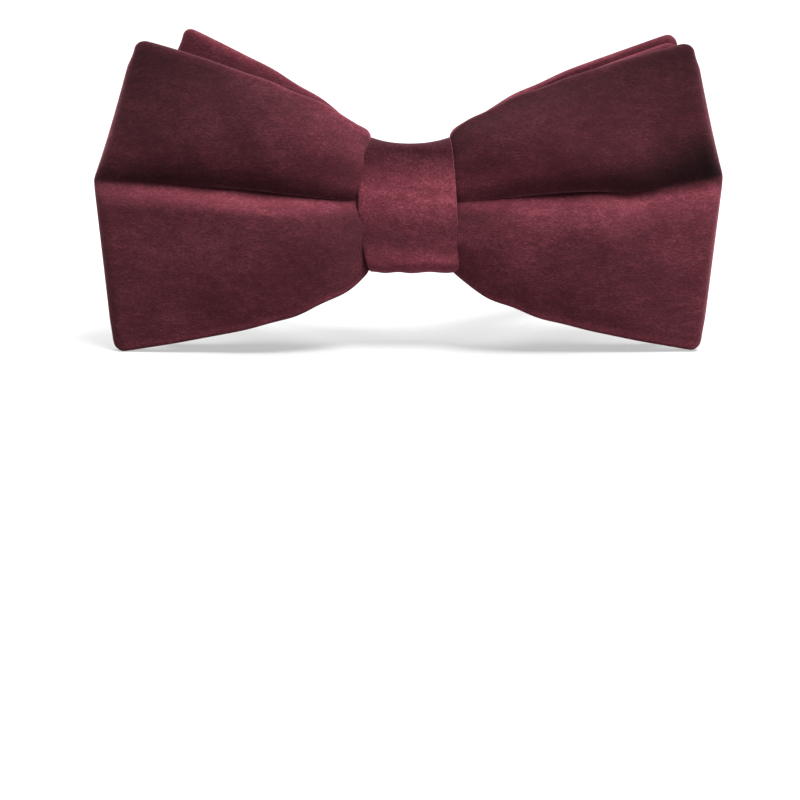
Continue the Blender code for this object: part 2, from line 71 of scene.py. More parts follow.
KNOT_LOW, KNOT_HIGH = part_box("knot_band")
KNOT_HIGH.z += FRONT_EDGE_RISE
KNOT_LOW.z += BAND_CLEARANCE
KNOT_Z = (KNOT_LOW.z + KNOT_HIGH.z) / 2
KNOT_HALF_HEIGHT = (KNOT_HIGH.z - KNOT_LOW.z) / 2
KNOT_HALF_WIDTH = KNOT_HIGH.x
BOW_PLANE_Y = (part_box("front_bow")[1].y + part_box("rear_bow")[0].y) / 2
SLEEVE_LOW, SLEEVE_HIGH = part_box("knot_band_lining")
SLEEVE_HIGH.z += LINING_RISE

RING_NORMAL = Vector(JOINTS["left_strap_swing"]["axis"])
RING_BACK = Vector((0, RING_NORMAL.z, -RING_NORMAL.y))
RING_MIDDLE = Vector(JOINTS["slider_travel"]["pos_m"])
RING_RADIUS = JOINTS["right_strap_bend"]["pos_m"][0] - RING_MIDDLE.x
HINGE = Vector(JOINTS["right_strap_swing"]["pos_m"])
PIVOT = Vector(JOINTS["hook_pivot"]["pos_m"])
STRAP_HALF_HEIGHT = (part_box("strap_center")[1].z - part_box("strap_center")[0].z) / 2

# ------------------------------------------------------------------ sizes of the cloth

GAP = 0.0003
VELVET = 0.0009
HEM = 0.0007  # what the turned edge adds to the velvet's thickness
HEM_DEPTH = 0.12  # share of a half's height that the turned edge takes
LINING = 0.0003
LINING_GAP = 0.0001
WAIST_ABOVE = 0.0124
WAIST_BELOW = 0.0118
GATHERED = 0.75  # the share of these heights that is left where the knot grips the cloth
EDGE_START = 0.03  # keeps the edges' first slope gentle
GATHER_STEP = 0.022  # the share of a wing in which the gripped cloth opens out
REAR_WAIST_DROP = 0.0016  # how much lower the rear bow's top edge leaves the knot
WAIST_HALF_DEPTH = 0.0018
LEAST_HALF_DEPTH = 0.0016
DEPTH_BLEND = 0.0003  # how softly the depth runs into that least one
CREASE_Z = 0.0289
ARCH_SKEW = 0.9  # under 1, the crease's arch is highest before the middle of the wing
DIP_PLACE = 0.70
DIP_WIDTH = 0.10
MOST_WALL = 0.55  # the crease's walls take at most this share of a half's height
WALL_ABOVE, WALL_BELOW = 0.62, 0.90  # how roundly they rise, under 1 is rounder
HIDDEN_CREASE = 0.5  # how deep the crease is on the side that faces the other bow
FOLD_RADIUS = 0.0026
END_ABOVE, END_BELOW = 0.86, 0.95  # how straight the end fold runs to its corners, 1 is straight
END_EASE = 0.05  # how softly it turns at the crease
CORNER_RADIUS = 0.0022
CORNER_START = 0.80  # the share of a half's height where its corner's rounding starts
RIPPLE = 0.00022  # unevenness of the edges near the knot: its height, length, place and spread
RIPPLE_LENGTH = 0.0105
RIPPLE_PLACE = 0.016
RIPPLE_SPREAD = 0.012
WAVE_LENGTH = 0.031  # of the cloth's soft unevenness: its longest wave along x
WAVES = (0.00022, 0.00014, 0.00009)
SLANT_FOLD = 0.00030  # how far a slanting fold stands out on the right wing
EDGE_THIN = 0.0004  # how far a panel's edges fall back, and by what shares of its puff and lobe
PUFF_FALL, LOBE_FALL = 0.78, 0.9

# Each wing: where it leaves the waist, its reach at the crease, its corners as (x, z), how quickly its
# edges leave the knot, how much lower the back panel's top edge lies than the front's, the crease's rise,
# how late it comes, its arch and the dip in its lip, the crease's depth near the knot, in the middle and at
# the end, how far the crease's walls reach above and below it, the share of the upper half that is painted
# with the crease's shade, and the light and shade painted on it, lighter where light falls on it and darker
# where it turns away, near the knot, in the middle and at the end, at six levels from its top edge to its
# bottom edge: painted shade deep in the crease and a painted highlight on the lip just below it
FRONT_LEFT = {
    "waist": 0.0066, "reach": 0.0602, "top": (0.0523, 0.0606), "bottom": (0.0570, -0.0004),
    "top_power": 0.52, "bottom_power": 0.36, "drop": 0.0013,
    "rise": 0.0041, "rise_power": 1.5, "arch": 0.0018, "dip": 0.0,
    "valley": (0.0030, 0.0050, 0.0024), "walls": (0.0100, 0.0045), "band": 0.04,
    "painted_light": {
        "top": (1.15, 0.54, 0.34),
        "upper": (1.5, 0.72, 0.49),
        "above": (1.55, 1.0, 0.68),
        "lip": (1.35, 2.1, 1.3),
        "below": (0.80, 1.0, 0.95),
        "bottom": (1.2, 1.35, 0.80),
    },
}
FRONT_RIGHT = {
    "waist": 0.0071, "reach": 0.0600, "top": (0.0544, 0.0600), "bottom": (0.0564, -0.0002),
    "top_power": 0.48, "bottom_power": 0.43, "drop": 0.0013,
    "rise": 0.0047, "rise_power": 4.0, "arch": 0.0024, "dip": 0.0011,
    "valley": (0.0016, 0.0052, 0.0030), "walls": (0.0095, 0.0075), "band": 0.12,
    "painted_light": {
        "top": (0.38, 0.34, 0.30),
        "upper": (1.15, 0.86, 0.68),
        "above": (2.3, 1.3, 0.18),
        "lip": (2.1, 1.5, 1.6),
        "below": (1.25, 1.02, 1.25),
        "bottom": (1.4, 1.25, 1.10),
    },
}
# the levels of a wing at which light and shade are painted, and a wing with none painted
PAINTED_LIGHT_LEVELS = ("top", "upper", "above", "lip", "below", "bottom")
EVEN_PAINTED_LIGHT = {level: (1.0, 1.0, 1.0) for level in PAINTED_LIGHT_LEVELS}
REAR_LEFT = {
    "waist": 0.0066, "reach": 0.0520, "top": (0.0433, 0.0626), "bottom": (0.0480, 0.0014),
    "top_power": 0.74, "bottom_power": 0.46, "drop": 0.0013,
    "rise": 0.0030, "rise_power": 2.5, "arch": 0.0, "dip": 0.0,
    "valley": (0.0018, 0.0028, 0.0010), "walls": (0.0120, 0.0140), "band": 0.04,
    # painted highlight, lighter towards the rear left wing's top edge
    "painted_light": EVEN_PAINTED_LIGHT | {"top": (1.3, 1.3, 1.3)},
}
REAR_RIGHT = {
    "waist": 0.0071, "reach": 0.0550, "top": (0.0514, 0.0597), "bottom": (0.0495, 0.0014),
    "top_power": 0.75, "bottom_power": 0.52, "drop": -0.0013,
    "rise": 0.0030, "rise_power": 2.5, "arch": 0.0, "dip": 0.0,
    "valley": (0.0018, 0.0028, 0.0010), "walls": (0.0120, 0.0140), "band": 0.04,
    "painted_light": EVEN_PAINTED_LIGHT,
}
# Each bow: the side of the middle plane it lies on, the side its shown panel faces, how far it puffs out,
# how early and how roundly, how far it bulges beside the crease, how deep its gathers are, its two wings,
# and its strip's height and length round the loop
FRONT_BOW = {
    "layer": -1, "outside": -1,
    "puff": 0.0042, "fullness": (0.62, 1.25), "lobe": 0.0012, "gathers": 0.00020,
    "wings": {-1: FRONT_LEFT, 1: FRONT_RIGHT}, "cut": (0.0615, 0.244),
}
REAR_BOW = {
    "layer": 1, "outside": 1,
    "puff": 0.0027, "fullness": (1.0, 2.0), "lobe": 0.0, "gathers": 0.0,
    "wings": {-1: REAR_LEFT, 1: REAR_RIGHT}, "cut": (0.0605, 0.217),
}
LINING_SETBACK = 0.0075  # how much less high than the velvet the lining's strip is
CREASE_PAINTED_SHADE = 0.57  # painted shade: how dark the velvet is painted deep in the crease, above it
RIM_START = 0.965  # a painted highlight on the turned edges, from this level out
RIM_PAINTED_HIGHLIGHT = 0.5
LINING_SPREAD = 0.9  # the share of the velvet's height that the lining reaches
LINING_TRIM = 0.0030


def smoothstep(t):
    """0 up to t = 0, 1 from t = 1, and a smooth run between."""
    t = np.clip(t, 0.0, 1.0)
    return t * t * (3 - 2 * t)


# ------------------------------------------------------------------ meshes


def object_from(name, points, faces):
    mesh = bpy.data.meshes.new(name)
    mesh.from_pydata([tuple(p) for p in points], [], faces)
    shape = bmesh.new()
    shape.from_mesh(mesh)
    bmesh.ops.recalc_face_normals(shape, faces=shape.faces)
    shape.to_mesh(mesh)
    shape.free()
    mesh.shade_smooth()
    mesh.set_sharp_from_angle(angle=math.radians(60))
    obj = bpy.data.objects.new(name, mesh)
    bpy.context.scene.collection.objects.link(obj)
    return obj


def tube(name, rings, closed=False):
    """A tube through rings of points, an array (rings, points, 3), capped unless it closes on itself."""
    count, size = rings.shape[:2]
    faces = []
    for i in range(count if closed else count - 1):
        here, there = i * size, (i + 1) % count * size
        for j in range(size):
            k = (j + 1) % size
            faces.append((here + j, here + k, there + k, there + j))
    if not closed:
        faces.append(tuple(range(size)))
        faces.append(tuple(range((count - 1) * size, count * size)))
    return object_from(name, rings.reshape(-1, 3), faces)


def paint_light_and_shade(obj, values):
    """Light and shade painted at each vertex, into the mesh's "nap" attribute that scales the velvet's
    colour: 1 is neutral.
    """
    layer = obj.data.attributes.new("nap", "FLOAT", "POINT")
    layer.data.foreach_set("value", np.asarray(values, dtype=float).ravel())


def thread(name, points, diameter):
    """A sewing thread: a smooth round curve through these points."""
    curve = bpy.data.curves.new(name, "CURVE")
    curve.dimensions = "3D"
    curve.bevel_depth = diameter / 2
    curve.bevel_resolution = 3
    curve.resolution_u = 4
    curve.use_fill_caps = True
    spline = curve.splines.new("BEZIER")
    spline.bezier_points.add(len(points) - 1)
    for point, place in zip(spline.bezier_points, points):
        point.co = place
        point.handle_left_type = "AUTO"
        point.handle_right_type = "AUTO"
    obj = bpy.data.objects.new(name, curve)
    bpy.context.scene.collection.objects.link(obj)
    return obj


SEWING_THREAD = 0.0003  # its diameter

# ------------------------------------------------------------------ the two bows


def loop_stations():
    """(side, panel, step, fold angle) once round a bow's loop, seen from above, as four arrays."""
    steps = np.linspace(0, 1, 52) ** 1.25
    folds = np.linspace(0, math.pi / 2, 9)
    wing = [(s, 0.0) for s in steps] + [(1.0, f) for f in folds[1:-1]]
    outer = (1.0, math.pi / 2)
    path = [(1, -1, *w) for w in wing] + [(1, -1, *outer)] + [(1, 1, *w) for w in reversed(wing)]
    path += [(-1, 1, *w) for w in wing] + [(-1, 1, *outer)] + [(-1, -1, *w) for w in reversed(wing)]
    return np.array(path).T


def along_wing(values, step):
    """A size that changes along a wing, from its values near the knot, in the middle and at the end."""
    near, middle, end = values
    first = near * smoothstep(step / 0.04) + (middle - near) * smoothstep((step - 0.05) / 0.45)
    return first + (end - middle) * smoothstep((step - 0.60) / 0.40)


def cloth_waves(x, row, side):
    """Soft unevenness of stuffed cloth, in metres, with a slanting fold low on the right wing."""
    across = 2 * math.pi * x / WAVE_LENGTH
    waves = WAVES[0] * np.sin(across * 1.0 + 2.3 * row + 1.1 * side)
    waves += WAVES[1] * np.sin(across * 1.7 - 3.9 * row + 0.7)
    waves += WAVES[2] * np.sin(across * 2.9 + 6.1 * row * side)
    slant = np.clip((x - 0.020) / 0.030, 0, 1) * 0.55 + row
    fold = SLANT_FOLD * np.tanh((slant + 0.10) / 0.07) * smoothstep((x - 0.018) / 0.015)
    return waves + np.where(side > 0, fold, 0)


def of_wings(bow, side, key, index=None):
    """A wing's size at each point, left or right by its side."""
    left, right = (bow["wings"][s][key] if index is None else bow["wings"][s][key][index] for s in (-1, 1))
    return np.where(side < 0, left, right)


def end_reach(wing, upper, level):
    """How far out the end fold lies, from the crease, level 0, to a corner, level 1."""
    corner_x = np.where(upper, wing("top", 0), wing("bottom", 0))
    eased = (np.sqrt(level**2 + END_EASE**2) - END_EASE) / (math.sqrt(1 + END_EASE**2) - END_EASE)
    return wing("reach") + (corner_x - wing("reach")) * eased ** np.where(upper, END_ABOVE, END_BELOW)


def crease_height(wing, along):
    """The crease's height along a wing, from the sizes that wing() gives."""
    crease = CREASE_Z + wing("rise") * along ** wing("rise_power")
    crease += wing("arch") * np.sin(math.pi * along**ARCH_SKEW)
    return crease - wing("dip") * np.exp(-(((along - DIP_PLACE) / DIP_WIDTH) ** 2))


def edge_height(bow, wing, side, panel, upper, step, along, x, trim):
    """The height of the cloth's top edge, or of its bottom edge where it isn't upper."""
    gathered = GATHERED + (1 - GATHERED) * smoothstep(step / GATHER_STEP)
    above = WAIST_ABOVE * gathered - (REAR_WAIST_DROP if bow["layer"] > 0 else 0)
    waist_edge = KNOT_Z + np.where(upper, above, -WAIST_BELOW * gathered)
    corner_z = np.where(upper, wing("top", 1), wing("bottom", 1))
    power = np.where(upper, wing("top_power"), wing("bottom_power"))
    start = EDGE_START**power
    spread = ((along + EDGE_START) ** power - start) / ((1 + EDGE_START) ** power - start)
    edge = waist_edge + (corner_z - waist_edge) * spread
    ripple = RIPPLE * np.sin(2 * math.pi * x / RIPPLE_LENGTH + 2 * side)
    edge += ripple * np.exp(-(((x - RIPPLE_PLACE) / RIPPLE_SPREAD) ** 2))
    edge -= np.where(upper, 1, -1) * trim
    return edge - np.where((panel > 0) & upper, wing("drop") * smoothstep(along / 0.2), 0)


def panel_base(bow, step):
    """How far a panel lies from its loop's middle plane, without its puff, and how far it puffs."""
    base = WAIST_HALF_DEPTH + (FOLD_RADIUS - WAIST_HALF_DEPTH) * step
    early, round_over = bow["fullness"]
    return base, bow["puff"] * np.clip(np.sin(math.pi * step**early), 0, 1) ** round_over


def crease_hollow(bow, wing, side, step, upper, level, half_height):
    """The crease's depth along the wing, the share of it at this level, and how far past its ridge it is."""
    valley = np.where(side < 0, *(along_wing(bow["wings"][s]["valley"], step) for s in (-1, 1)))
    ridge = np.minimum(np.where(upper, wing("walls", 0), wing("walls", 1)) / half_height, MOST_WALL)
    rounded = np.where(upper, WALL_ABOVE, WALL_BELOW)
    hollow = 1 - np.sin(math.pi / 2 * np.clip(level / ridge, 0, 1)) ** rounded
    return valley, hollow, np.clip((level - ridge) / (1 - ridge), 0, 1)


def face_depth(bow, wing, side, panel, step, row, x, half_height):
    """How far the velvet's face lies from its loop's middle plane."""
    base, puff = panel_base(bow, step)
    shown = panel == bow["outside"]
    lobe = np.where(shown, bow["lobe"], 0.0) * smoothstep(step / 0.6)
    valley, hollow, past_ridge = crease_hollow(bow, wing, side, step, row > 0, np.abs(row), half_height)
    valley = valley * np.where(shown, 1.0, HIDDEN_CREASE)
    edge_fall = (PUFF_FALL * puff + LOBE_FALL * lobe + EDGE_THIN) * past_ridge**2
    gathers = bow["gathers"] * np.clip(step / 0.06, 0, 1) * np.exp(-step / 0.13)
    gathers = gathers * np.cos(13 * row + 0.6 * side)
    waves = cloth_waves(x, row, side) * np.sin(math.pi * np.clip(step, 0, 1)) + gathers
    settle = np.where(shown, waves - 0.0002, 0.25 * waves - 0.0003) * smoothstep(step / 0.05)
    spare = base + puff + lobe - valley * hollow - edge_fall + settle - LEAST_HALF_DEPTH
    return LEAST_HALF_DEPTH + (spare + np.sqrt(spare**2 + DEPTH_BLEND**2)) / 2


def bow_points(bow, side, panel, step, fold, row, inset, edge_trim):
    """Points of a bow's cloth, all arrays broadcast together.

    step runs from 0 at the waist to 1 at the end fold, row from -1 at the bottom edge to 1 at the
    top edge, inset is the depth under the velvet's face, and edge_trim moves the edges inwards.
    """
    def wing(key, index=None):
        return of_wings(bow, side, key, index)

    upper = row > 0
    level = np.abs(row)
    reach = end_reach(wing, upper, level)
    middle_x = wing("waist") + (reach - FOLD_RADIUS - wing("waist")) * step
    x = middle_x + (FOLD_RADIUS - inset) * np.sin(fold)
    along = np.clip((middle_x + FOLD_RADIUS * np.sin(fold) - wing("waist")) / (reach - wing("waist")), 0, 1)

    crease = crease_height(wing, along)
    edge = edge_height(bow, wing, side, panel, upper, step, along, x, edge_trim)
    corner_in = np.clip((x - (reach - inset - CORNER_RADIUS)) / CORNER_RADIUS, 0, 1)
    corner_drop = CORNER_RADIUS * (1 - np.sqrt(np.clip(1 - corner_in**2, 0, 1)))
    z = crease + (edge - crease) * level
    z -= np.sign(row) * corner_drop * smoothstep((level - CORNER_START) / (1 - CORNER_START))

    middle_y = BOW_PLANE_Y + bow["layer"] * (sum(panel_base(bow, step)) + GAP / 2)
    depth = face_depth(bow, wing, side, panel, step, row, x, np.abs(edge - crease)) - inset
    y = middle_y + panel * depth * np.cos(fold)
    return np.stack(np.broadcast_arrays(side * x, y, z), axis=-1)


def bow_painted_light(bow, rows):
    """The light and shade painted at each station round the loop and each row: painted shade in the crease
    and a painted highlight on the lip below it on the shown panel, and a painted highlight on the turned
    edges all round.
    """
    side, panel, step, _ = (a[:, None] for a in loop_stations())
    shades = np.ones((len(side), len(rows)))
    for s in (-1, 1):
        painted_light = {key: np.interp(step[:, 0], (0, 0.45, 1), v) for key, v in bow["wings"][s]["painted_light"].items()}
        deep = painted_light["above"] * CREASE_PAINTED_SHADE
        painted_light_rows = (-1.0, -0.17, -0.05, 0.03, bow["wings"][s]["band"], 0.25, 0.45, 1.0)
        levels = [painted_light["bottom"], painted_light["below"], painted_light["lip"], deep, deep]
        levels += [painted_light["above"], painted_light["upper"], painted_light["top"]]
        for station in np.nonzero(side[:, 0] == s)[0]:
            shades[station] = np.interp(rows, painted_light_rows, [level[station] for level in levels])
    rim = smoothstep((np.abs(rows) - RIM_START) / 0.03)
    return np.where(panel == bow["outside"], shades, 1.0) * (1 + RIM_PAINTED_HIGHLIGHT * rim[None, :])


def velvet_thickness(row, step):
    """The velvet's thickness, doubled near its edges, where it is turned in."""
    return VELVET + HEM * smoothstep((np.abs(row) - 1 + 2 * HEM_DEPTH) / HEM_DEPTH) * smoothstep(step / 0.15)


def shell_rings(bow, face_rows, back_rows, roll_steps, face, back, trim):
    """Rings of points round a layer of cloth: outer face, rolled top edge, inner face, rolled bottom edge."""
    side, panel, step, fold = (a[:, None] for a in loop_stations())
    outer = face(np.ones(1), step)
    thick = back(np.ones(1), step) - outer
    columns = []

    def add_face(rows, inset):
        for row in rows:
            columns.append(bow_points(bow, side, panel, step, fold, row, inset(row, step), trim + thick / 2))

    def add_edge(row, first, last):
        for turn in np.linspace(first, last, roll_steps + 2)[1:-1]:
            inset = outer + thick / 2 * (1 - math.cos(turn))
            lift = thick / 2 * math.sin(turn)
            columns.append(bow_points(bow, side, panel, step, fold, row, inset, trim + thick / 2 - lift))

    add_face(face_rows, face)
    add_edge(1.0, 0, math.pi)
    add_face(back_rows[::-1], back)
    add_edge(-1.0, math.pi, 0)
    return np.concatenate(columns, axis=1)


def spaced_rows(count):
    """Rows from -1 to 1, closest together at the crease."""
    s = np.linspace(-1, 1, count)
    return np.sign(s) * np.abs(s) ** 1.35


def make_bow(name, bow):
    """A bow's velvet, with light and shade painted on it, and the stiff lining inside it."""
    face_rows, back_rows, roll_steps = spaced_rows(61), spaced_rows(33), 5
    velvet = shell_rings(bow, face_rows, back_rows, roll_steps, lambda r, s: 0 * s, velvet_thickness, 0.0)
    cloth = tube(name, velvet, closed=True)
    rows = np.concatenate([face_rows, np.ones(roll_steps), back_rows[::-1], -np.ones(roll_steps)])
    paint_light_and_shade(cloth, bow_painted_light(bow, rows))

    def lining_face(_, step):
        return VELVET + LINING_GAP + 0 * step

    def lining_back(_, step):
        return VELVET + LINING_GAP + LINING + 0 * step

    rows = spaced_rows(25) * LINING_SPREAD
    stiffener = shell_rings(bow, rows, rows, 1, lining_face, lining_back, LINING_TRIM)
    return cloth, tube(name + "_lining", stiffener, closed=True)


# ------------------------------------------------------------------ the knot


def sleeve_section(low, high, corner, steps, straight):
    """Points (y, z) round a sleeve seen from the side, with round corners, and the way out at each."""
    middle_y, middle_z = (low.y + high.y) / 2, (low.z + high.z) / 2
    half_y, half_z = (high.y - low.y) / 2 - corner, (high.z - low.z) / 2 - corner
    places, outward = [], []
    for number, (away, level) in enumerate(((1, 1), (-1, 1), (-1, -1), (1, -1))):
        for step in range(steps + 1):
            angle = math.pi / 2 * (number + step / steps)
            outward.append((math.cos(angle), math.sin(angle)))
            places.append((middle_y + away * half_y + corner * math.cos(angle),
                           middle_z + level * half_z + corner * math.sin(angle)))
        away_next, level_next = ((-1, 1), (-1, -1), (1, -1), (1, 1))[number]
        angle = math.pi / 2 * (number + 1)
        for step in range(1, straight):
            share = step / straight
            y = middle_y + half_y * (away + (away_next - away) * share) + corner * math.cos(angle)
            z = middle_z + half_z * (level + (level_next - level) * share) + corner * math.sin(angle)
            outward.append((math.cos(angle), math.sin(angle)))
            places.append((y, z))
    return np.array(places), np.array(outward)


BAND_THICK = 0.0010
BAND_CORNER, BAND_CROWN = 0.0028, 0.0003
SLEEVE_CORNER = 0.0019
KNOT_LEAN = 0.19  # the slope of the knot's top, down towards the back
KNOT_SAG = 0.0013  # how much lower the middle of its top is than its sides
KNOT_RIPPLES = (0.00012, 0.00005)  # unevenness of its bottom edge and of its face

# Light and shade painted down the knot's face, darker near its top and lightest at its bottom: levels from
# its top to its bottom, and how light it is painted
KNOT_PAINTED_LIGHT_LEVELS = (0.0, 0.10, 0.22, 0.34, 0.48, 0.60, 0.72, 0.84, 1.0)
KNOT_PAINTED_LIGHT = (0.30, 0.60, 1.30, 2.30, 2.20, 1.35, 1.05, 1.5, 3.2)
KNOT_PAINTED_LIGHT_DEPTH = 0.007  # they fade out over this distance behind its face


def band_section(thick, half_width):
    """(share of the half width, depth) round a band's section, with rounded side edges."""
    face = np.linspace(-1, 1, 31)
    turns = np.linspace(0, math.pi, 7)[1:-1]
    edge = thick / 2
    section = [(s, 0.0) for s in face]
    section += [(1 + edge / half_width * math.sin(t), edge * (1 - math.cos(t))) for t in turns]
    section += [(s, thick) for s in face[::-1]]
    section += [(-1 - edge / half_width * math.sin(t), edge * (1 - math.cos(t))) for t in turns[::-1]]
    return section


def make_sleeve(name, low, high, half_width, thick, corner, crown):
    """A band of cloth round the knot, with rounded side edges, a crowned face and a sagging top.

    Its left side bows outwards and its right side leans in a little towards the top.
    """
    places, outward = sleeve_section(low, high, corner, 10, 22)
    height = (places[:, 1] - KNOT_Z) / KNOT_HALF_HEIGHT
    left_reach = half_width + 0.0002 - 0.0022 * height**2
    right_reach = half_width - 0.0004 - 0.0006 * height - 0.0005 * np.clip(height, 0, 1) ** 2
    section = band_section(thick, half_width)
    rings = np.zeros((len(places), len(section), 3))
    for k, (across, depth) in enumerate(section):
        bulge = crown * (1 - min(abs(across), 1.0) ** 2.2)
        dip = KNOT_SAG * (1 - min(abs(across), 1.0) ** 2) * np.clip(outward[:, 1], 0, 1) ** 2
        dip += KNOT_LEAN * (places[:, 0] - low.y) * np.clip(height, 0, 1) ** 2
        dip += KNOT_RIPPLES[0] * np.sin(9 * across + 1) * np.clip(-outward[:, 1], 0, 1)
        ripple = KNOT_RIPPLES[1] * np.sin(23 * height + 2.4 * across) * np.clip(-outward[:, 0], 0, 1)
        push = bulge * np.abs(outward[:, 0]) + ripple * (1 - across**2 * 0.6) - depth
        rings[:, k, 0] = across * (np.where(across > 0, right_reach, left_reach) - thick / 2)
        rings[:, k, 1] = places[:, 0] + outward[:, 0] * push
        rings[:, k, 2] = places[:, 1] + outward[:, 1] * push - dip
    obj = tube(name, rings, closed=True)
    # the painted light and shade down the knot's face, fading out behind it, go into its "nap" attribute
    level = np.clip((1 - height) / 2, 0, 1)
    front = 1 - smoothstep((places[:, 0] - low.y) / KNOT_PAINTED_LIGHT_DEPTH)
    nap = 1 + (np.interp(level, KNOT_PAINTED_LIGHT_LEVELS, KNOT_PAINTED_LIGHT) - 1) * front
    paint_light_and_shade(obj, np.repeat(nap[:, None], len(section), axis=1))
    return obj


def make_knot():
    """The knot's velvet band and the lining inside it."""
    band = make_sleeve("velvet_knot_band", KNOT_LOW, KNOT_HIGH, KNOT_HALF_WIDTH,
                       BAND_THICK, BAND_CORNER, BAND_CROWN)
    lining = make_sleeve("knot_lining", SLEEVE_LOW, SLEEVE_HIGH, SLEEVE_HIGH.x,
                         LINING, SLEEVE_CORNER, 0.0)
    return band, lining


def make_binding():
    """Turns of thread wound round the waist, in a squarish spiral."""
    low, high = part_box("binding_thread")
    diameter, pitch, turns, squareness = 0.0007, 0.0035, 3, 0.35
    half_y, half_z = (high.y - low.y - diameter) / 2, (high.z - low.z - diameter) / 2 - 0.0006
    middle = (low + high) / 2
    points = []
    steps = 40 * turns
    for i in range(steps + 1):
        angle = 2 * math.pi * turns * i / steps
        c, s = math.cos(angle), math.sin(angle)
        y = half_y * math.copysign(abs(c) ** squareness, c)
        z = half_z * math.copysign(abs(s) ** squareness, s)
        points.append((pitch * turns * (i / steps - 0.5), middle.y + y, middle.z + z))
    return thread("binding", points, diameter)


def make_knot_seam():
    """A slip stitch under the knot, which closes its band."""
    low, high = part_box("knot_seam_thread")
    middle = (low + high) / 2
    stitches, inset = 20, 0.0004
    points = []
    for i in range(stitches + 1):
        y = middle.y + (high.y - low.y - inset) / 2 * (1 if i % 2 else -1)
        points.append((low.x + (high.x - low.x) * i / stitches, y, middle.z))
    return thread("knot_seam", points, SEWING_THREAD)


# ------------------------------------------------------------------ the neck strap

STRAP_THICK = 0.0010
PLY_PITCH = STRAP_THICK + GAP
LEAVING_ANGLE = math.radians(60)  # the strap's way out of the knot, from straight sideways
LEAVING_PULL = 0.0240  # how far that way, and the way back at the side of the neck, hold on
SIDE_PULL = 0.0300
BAR = 0.0014
FOLD_CENTRE_LINE = BAR / 2 + GAP + STRAP_THICK / 2
FOLD_LENGTH = 0.0050
TAIL_LENGTH = 0.0060  # what is sewn down behind the eye's fold
SLIDER_TAIL = 0.0024
SLIDER_ANGLE = math.radians(25)  # angles along the ring start at its back
PIVOT_ANGLE = math.asin(PIVOT.x / (RING_RADIUS - PLY_PITCH / 2))
TOGETHER = PIVOT_ANGLE + FOLD_LENGTH / RING_RADIUS  # where a fold's two plies come together
TACK_PROUD = 0.0001


def ring_place(x, back, up=0.0):
    """A point by its place in the ring's plane, from the ring's middle, and its height across the strap."""
    return RING_MIDDLE + Vector((x, 0, 0)) + float(back) * RING_BACK + float(up) * RING_NORMAL


def in_ring(place):
    """The (x, back) of a point, from the ring's middle."""
    return np.array((place.x - RING_MIDDLE.x, (place - RING_MIDDLE).dot(RING_BACK)))


def arc(radius, first, last, steps):
    """Points (x, back) along the ring, by angles from its back."""
    angles = np.linspace(first, last, steps + 1)
    return [np.array((radius * math.sin(a), radius * math.cos(a))) for a in angles]


def round_bar(centre, radius, first, last, steps):
    """Points (x, back) round a bar that stands across the strap."""
    angles = np.linspace(first, last, steps + 1)
    return [np.array((centre[0] + radius * math.cos(a), centre[1] + radius * math.sin(a))) for a in angles]


def bezier(points, steps):
    a, b, c, d = points
    return [(1 - t) ** 3 * a + 3 * t * (1 - t) ** 2 * b + 3 * t**2 * (1 - t) * c + t**3 * d
            for t in np.linspace(0, 1, steps + 1)]


def ribbon(name, path, side=1, thick=STRAP_THICK, half_height=STRAP_HALF_HEIGHT):
    """A satin ribbon on edge along a path in the ring's plane, with rounded edges and a UV map, in metres."""
    path = np.array(path) * (side, 1)
    along = np.gradient(path, axis=0)
    along /= np.linalg.norm(along, axis=1)[:, None]
    away = np.stack([-along[:, 1], along[:, 0]], axis=1)
    edge = thick / 2
    levels = np.linspace(-half_height + edge, half_height - edge, 9)
    turns = np.linspace(-math.pi / 2, math.pi / 2, 5)[1:-1] + math.pi / 2
    section = [(edge, v) for v in levels]
    section += [(edge * math.cos(t), half_height - edge + edge * math.sin(t)) for t in turns]
    section += [(-edge, v) for v in levels[::-1]]
    section += [(-edge * math.cos(t), edge - half_height - edge * math.sin(t)) for t in turns]
    rings = np.zeros((len(path), len(section), 3))
    for i, here in enumerate(path):
        for k, (out, up) in enumerate(section):
            x, back = here + out * away[i]
            rings[i, k] = ring_place(x, back, up)
    obj = tube(name, rings)
    lengths = np.concatenate([[0], np.cumsum(np.linalg.norm(np.diff(path, axis=0), axis=1))])
    size = len(section)
    layer = obj.data.uv_layers.new(name="cloth")
    for loop in obj.data.loops:
        station, place = divmod(loop.vertex_index, size)
        layer.data[loop.index].uv = (lengths[station], section[place][1])
    return obj


def front_path():
    """The right strap's path from the knot to the side of the neck."""
    start, end = in_ring(HINGE), np.array((RING_RADIUS, 0.0))
    leaving = start + LEAVING_PULL * np.array((math.cos(LEAVING_ANGLE), math.sin(LEAVING_ANGLE)))
    arriving = end - np.array((0, SIDE_PULL))
    return bezier((start, leaving, arriving, end), 48)


def rear_path(tail):
    """The strap from the side of the neck to its pivot bar, round it, and back inside itself."""
    facing, wrap = math.pi - PIVOT_ANGLE, math.radians(78)
    path = arc(RING_RADIUS, math.pi / 2, TOGETHER, 44)[1:]
    pivot = in_ring(PIVOT)
    path += round_bar(pivot, FOLD_CENTRE_LINE, facing - wrap, facing + wrap, 14)
    return path + arc(RING_RADIUS - PLY_PITCH, TOGETHER, tail, 8)


